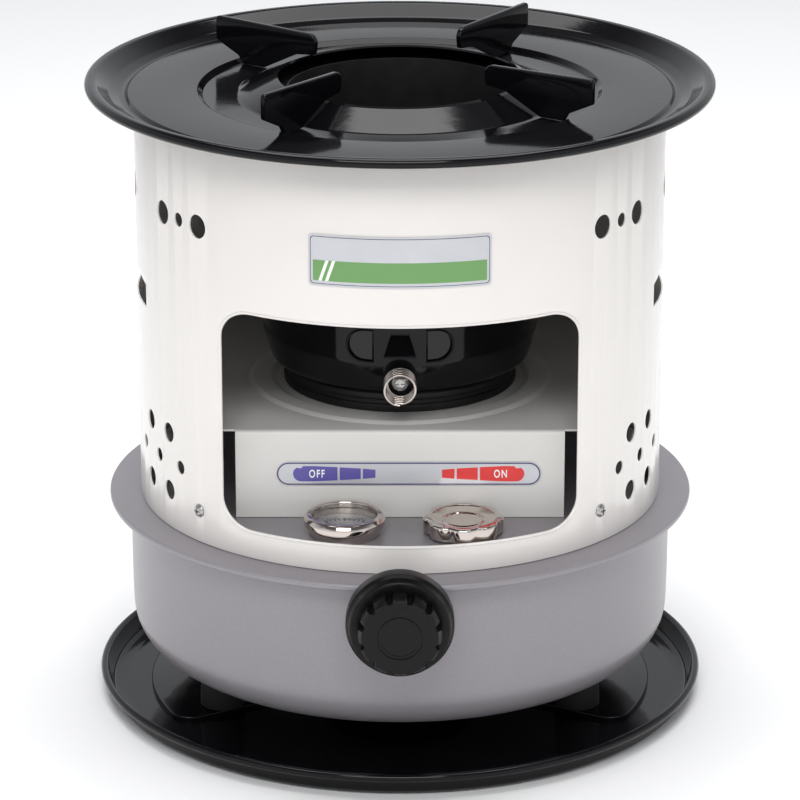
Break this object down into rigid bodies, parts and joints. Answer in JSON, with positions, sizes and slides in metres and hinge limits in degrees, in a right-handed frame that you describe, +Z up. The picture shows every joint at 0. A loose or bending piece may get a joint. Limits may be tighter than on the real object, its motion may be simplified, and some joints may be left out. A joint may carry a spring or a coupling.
{
  "type": "kerosene wick stove",
  "caption": "Round kerosene wick cooking stove with cream enamelled shell, grey fuel tank, black top plate with pan supports and drip tray",
  "frame": {"origin": "middle of the drip tray's flat underside, on the surface the stove stands on", "axes": "+Z up, the wick knob faces -Y, +X to the right seen from the front"},
  "size_m": [0.3296, 0.3488, 0.3555],
  "materials": {
    "gloss_black_enamel": "gloss black vitreous enamel",
    "cream_enamel": "gloss cream enamel",
    "deck_paint": "satin off-white paint",
    "grey_hammertone": "semi-gloss grey paint",
    "chrome_plate": "polished chrome plate",
    "plated_steel": "zinc-plated steel",
    "heat_steel": "heat-tinted steel",
    "dark_heat_finish": "heat-darkened matte iron and steel",
    "brass_fittings": "turned brass",
    "black_phenolic": "satin black moulded plastic",
    "black_rubber": "black rubber",
    "clear_lens": "clear lens",
    "mica_pane": "amber mica sheet",
    "dial_card": "printed metal dial",
    "pointer_paint": "red painted wire",
    "float_cork": "varnished cork-like float",
    "printed_plates": "printed aluminium foil plate",
    "wick_fabric": "woven glass-fibre wick"
  },
  "bodies": {
    "tray": {"drip_tray": "gloss_black_enamel"},
    "stove": {"foot_left": "black_rubber", "foot_right": "black_rubber", "foot_rear": "black_rubber", "tank_lower": "grey_hammertone", "tank_upper": "grey_hammertone", "filler_neck": "chrome_plate", "gauge_bezel": "chrome_plate", "gauge_lens": "clear_lens", "gauge_dial": "dial_card", "gauge_pivot_bracket": "plated_steel", "shaft_bush": "brass_fittings", "gland_nut": "brass_fittings", "inner_bearing": "plated_steel", "wick_outer_tube": "heat_steel", "draught_tube": "heat_steel", "deck": "deck_paint", "control_plate": "printed_plates", "outer_shell": "cream_enamel", "rating_plate": "printed_plates", "shell_bracket_left_front": "plated_steel", "shell_bracket_right_front": "plated_steel", "shell_bracket_left_rear": "plated_steel", "shell_bracket_right_rear": "plated_steel", "shell_screw_left_front": "plated_steel", "shell_screw_right_front": "plated_steel", "shell_screw_left_rear": "plated_steel", "shell_screw_right_rear": "plated_steel"},
    "top": {"top_plate": "gloss_black_enamel", "flame_collar": "dark_heat_finish", "pan_support_front_left": "gloss_black_enamel", "pan_support_front_right": "gloss_black_enamel", "pan_support_rear_right": "gloss_black_enamel", "pan_support_rear_left": "gloss_black_enamel"},
    "burner": {"burner_base_ring": "dark_heat_finish", "burner_drum": "gloss_black_enamel", "inner_flame_tube": "heat_steel", "outer_flame_tube": "heat_steel", "flame_spreader": "heat_steel", "burner_cross_pin": "heat_steel", "view_window": "mica_pane", "handle_bracket": "dark_heat_finish", "handle_screw": "plated_steel", "spring_handle": "chrome_plate"},
    "knob": {"wick_knob": "black_phenolic", "wick_shaft": "plated_steel", "pinion": "brass_fittings"},
    "wick_unit": {"wick": "wick_fabric", "wick_carrier": "heat_steel"},
    "seal": {"cap_seal": "black_rubber"},
    "cap": {"filler_cap": "chrome_plate"},
    "float": {"float_arm": "pointer_paint", "gauge_float": "float_cork"}
  },
  "joints": [
    {"name": "stove_lift", "type": "slide", "parent": "tray", "child": "stove", "axis": [0, 0, 1], "range_m": [0, 0.05]},
    {"name": "top_plate_lift", "type": "slide", "parent": "stove", "child": "top", "axis": [0, 0, 1], "range_m": [0, 0.06]},
    {"name": "burner_lift", "type": "slide", "parent": "stove", "child": "burner", "axis": [0, 0, 1], "range_m": [0, 0.012]},
    {"name": "knob_turn", "type": "hinge", "parent": "stove", "child": "knob", "pos_m": [0, -0.158, 0.0975], "axis": [0, 1, 0], "range_deg": [-135, 0]},
    {"name": "wick_rise", "type": "slide", "parent": "stove", "child": "wick_unit", "axis": [0, 0, 1], "range_m": [-0.012, 0]},
    {"name": "cap_lift", "type": "slide", "parent": "stove", "child": "seal", "axis": [0, 0, 1], "range_m": [0, 0.025]},
    {"name": "cap_turn", "type": "hinge", "parent": "seal", "child": "cap", "pos_m": [0.0325, -0.11229, 0.1276], "axis": [0, 0, 1], "range_deg": [0, 90]},
    {"name": "float_swing", "type": "hinge", "parent": "stove", "child": "float", "pos_m": [-0.0285, -0.11676, 0.118], "axis": [0, 1, 0], "range_deg": [-45, 0]}
  ],
  "couplings": [
    {"joint": "wick_rise", "follows": "knob_turn", "m_per_rad": 0.005}
  ]
}
